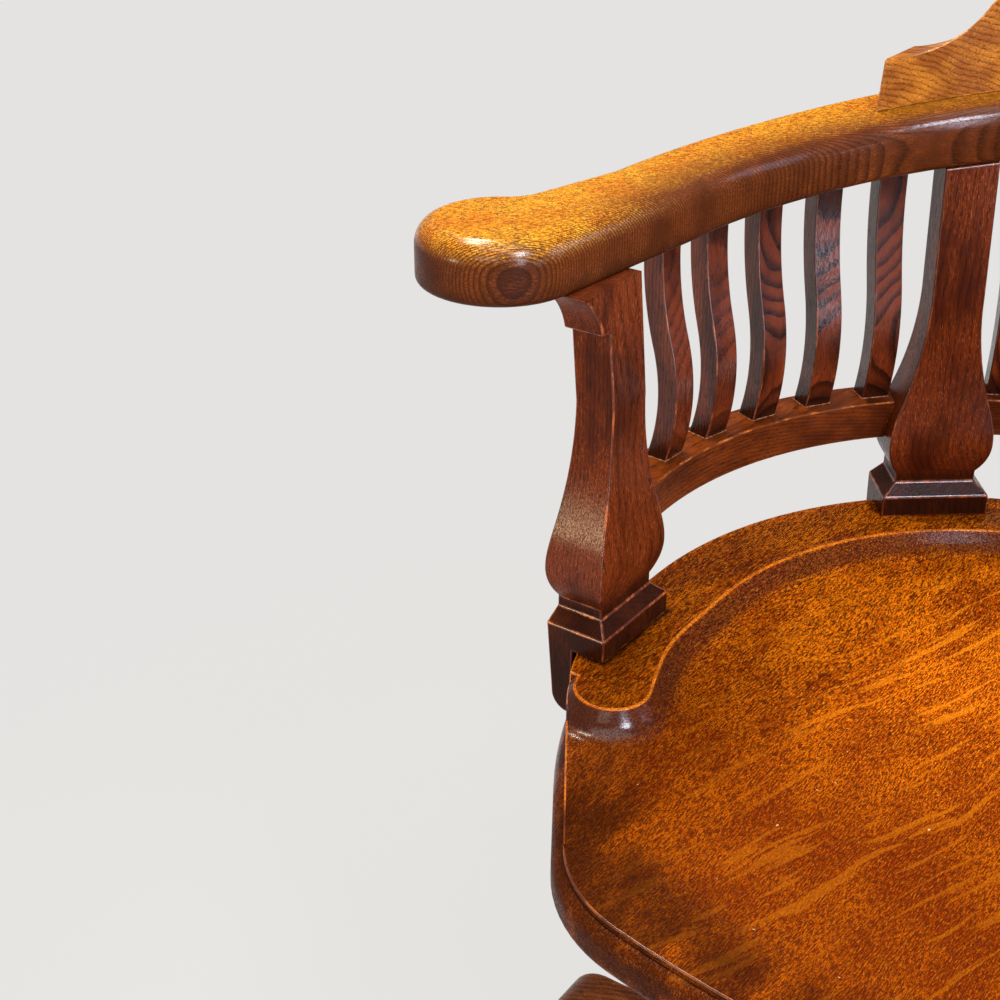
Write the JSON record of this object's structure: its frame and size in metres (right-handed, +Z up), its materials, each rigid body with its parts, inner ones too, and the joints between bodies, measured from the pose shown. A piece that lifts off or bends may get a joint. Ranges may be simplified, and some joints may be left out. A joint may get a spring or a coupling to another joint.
{
  "type": "swivel desk chair",
  "caption": "Oak bankers swivel chair: saddle seat, bowed arm rail on S-curved slats, sprung tilt, screw height and a turned hub on castored legs.",
  "frame": {"origin": "on the floor, on the swivel axis, under the middle of the four legs", "axes": "+Z up, +Y to the back of the chair, +X to the right as seen from the front"},
  "size_m": [0.677, 0.666, 0.8362],
  "materials": {
    "oak_arm": "french-polished oak, golden",
    "oak_seat": "french-polished oak, chestnut",
    "oak_dark": "french-polished oak, dark red-brown",
    "oak_base": "french-polished oak, dark",
    "oak_raw": "unpolished oak",
    "black_iron": "black japanned castings",
    "bright_steel": "turned and oiled",
    "spring_steel": "oil-blacked wire",
    "screw_steel": "plain",
    "castor_brass": "aged brass",
    "castor_tread": "dark moulded composition"
  },
  "bodies": {
    "base": {"hub": "oak_base", "hub_socket": "black_iron", "hub_screws": "screw_steel", "leg_pegs": "oak_raw", "leg_front": "oak_base", "leg_right": "oak_base", "leg_back": "oak_base", "leg_left": "oak_base", "castor_sockets": "castor_brass"},
    "swivel": {"swivel_bush": "bright_steel"},
    "handwheel": {"hand_wheel": "black_iron"},
    "column": {"spindle": "bright_steel", "yoke": "black_iron", "spring_left": "spring_steel", "spring_right": "spring_steel"},
    "chair": {"seat": "oak_seat", "left_arm": "oak_arm", "right_arm": "oak_arm", "crest_rail": "oak_arm", "crest_dowels": "oak_raw", "front_post_left": "oak_dark", "front_post_right": "oak_dark", "rear_post_left": "oak_dark", "rear_post_right": "oak_dark", "lower_rail_left": "oak_dark", "lower_rail_back": "oak_dark", "lower_rail_right": "oak_dark", "slat_01": "oak_dark", "slat_02": "oak_dark", "slat_03": "oak_dark", "slat_04": "oak_dark", "slat_05": "oak_dark", "slat_06": "oak_dark", "slat_07": "oak_dark", "slat_08": "oak_dark", "slat_09": "oak_dark", "slat_10": "oak_dark", "slat_11": "oak_dark", "slat_12": "oak_dark", "slat_13": "oak_dark", "slat_14": "oak_dark", "slat_15": "oak_dark", "slat_16": "oak_dark", "slat_17": "oak_dark", "post_screws": "screw_steel", "seat_iron": "black_iron", "seat_iron_screws": "screw_steel", "pivot_pin": "bright_steel"},
    "rod_left": {"tie_rod_left": "bright_steel", "tension_nut_left": "black_iron"},
    "rod_right": {"tie_rod_right": "bright_steel", "tension_nut_right": "black_iron"},
    "castor_front": {"castor_fork_front": "castor_brass"},
    "roller_front": {"castor_wheel_front": "castor_tread"},
    "castor_right": {"castor_fork_right": "castor_brass"},
    "roller_right": {"castor_wheel_right": "castor_tread"},
    "castor_back": {"castor_fork_back": "castor_brass"},
    "roller_back": {"castor_wheel_back": "castor_tread"},
    "castor_left": {"castor_fork_left": "castor_brass"},
    "roller_left": {"castor_wheel_left": "castor_tread"}
  },
  "joints": [
    {"name": "castor_swivel_front", "type": "hinge", "parent": "base", "child": "castor_front", "pos_m": [0, -0.288, 0.06], "axis": [0, 0, 1], "continuous": true},
    {"name": "castor_roll_front", "type": "hinge", "parent": "castor_front", "child": "roller_front", "pos_m": [0, -0.308, 0.025], "axis": [1, 0, 0], "continuous": true},
    {"name": "castor_swivel_right", "type": "hinge", "parent": "base", "child": "castor_right", "pos_m": [0.288, 0, 0.06], "axis": [0, 0, 1], "continuous": true},
    {"name": "castor_roll_right", "type": "hinge", "parent": "castor_right", "child": "roller_right", "pos_m": [0.308, 0, 0.025], "axis": [0, 1, 0], "continuous": true},
    {"name": "castor_swivel_back", "type": "hinge", "parent": "base", "child": "castor_back", "pos_m": [0, 0.288, 0.06], "axis": [0, 0, 1], "continuous": true},
    {"name": "castor_roll_back", "type": "hinge", "parent": "castor_back", "child": "roller_back", "pos_m": [0, 0.308, 0.025], "axis": [1, 0, 0], "continuous": true},
    {"name": "castor_swivel_left", "type": "hinge", "parent": "base", "child": "castor_left", "pos_m": [-0.288, 0, 0.06], "axis": [0, 0, 1], "continuous": true},
    {"name": "castor_roll_left", "type": "hinge", "parent": "castor_left", "child": "roller_left", "pos_m": [-0.308, 0, 0.025], "axis": [0, 1, 0], "continuous": true},
    {"name": "seat_swivel", "type": "hinge", "parent": "base", "child": "swivel", "pos_m": [0, 0, 0.311], "axis": [0, 0, 1], "continuous": true},
    {"name": "wheel_turn", "type": "hinge", "parent": "swivel", "child": "handwheel", "pos_m": [0, 0, 0.3276], "axis": [0, 0, 1], "range_deg": [0, 3600]},
    {"name": "seat_height", "type": "slide", "parent": "swivel", "child": "column", "axis": [0, 0, 1], "range_m": [0, 0.06]},
    {"name": "seat_tilt", "type": "hinge", "parent": "column", "child": "chair", "pos_m": [0, -0.015, 0.395], "axis": [-1, 0, 0], "range_deg": [0, 15], "stiffness_Nm_per_rad": 700, "springref_deg": -5.16, "deforming": ["spring_left", "spring_right"]},
    {"name": "rod_swing_left", "type": "hinge", "parent": "chair", "child": "rod_left", "pos_m": [-0.045, -0.125, 0.395], "axis": [-1, 0, 0], "range_deg": [-15, 0]},
    {"name": "rod_swing_right", "type": "hinge", "parent": "chair", "child": "rod_right", "pos_m": [0.045, -0.125, 0.395], "axis": [-1, 0, 0], "range_deg": [-15, 0]}
  ],
  "couplings": [
    {"joint": "seat_height", "follows": "wheel_turn", "m_per_rad": 0.00095493},
    {"joint": "rod_swing_left", "follows": "seat_tilt", "ratio": -1},
    {"joint": "rod_swing_right", "follows": "seat_tilt", "ratio": -1}
  ]
}
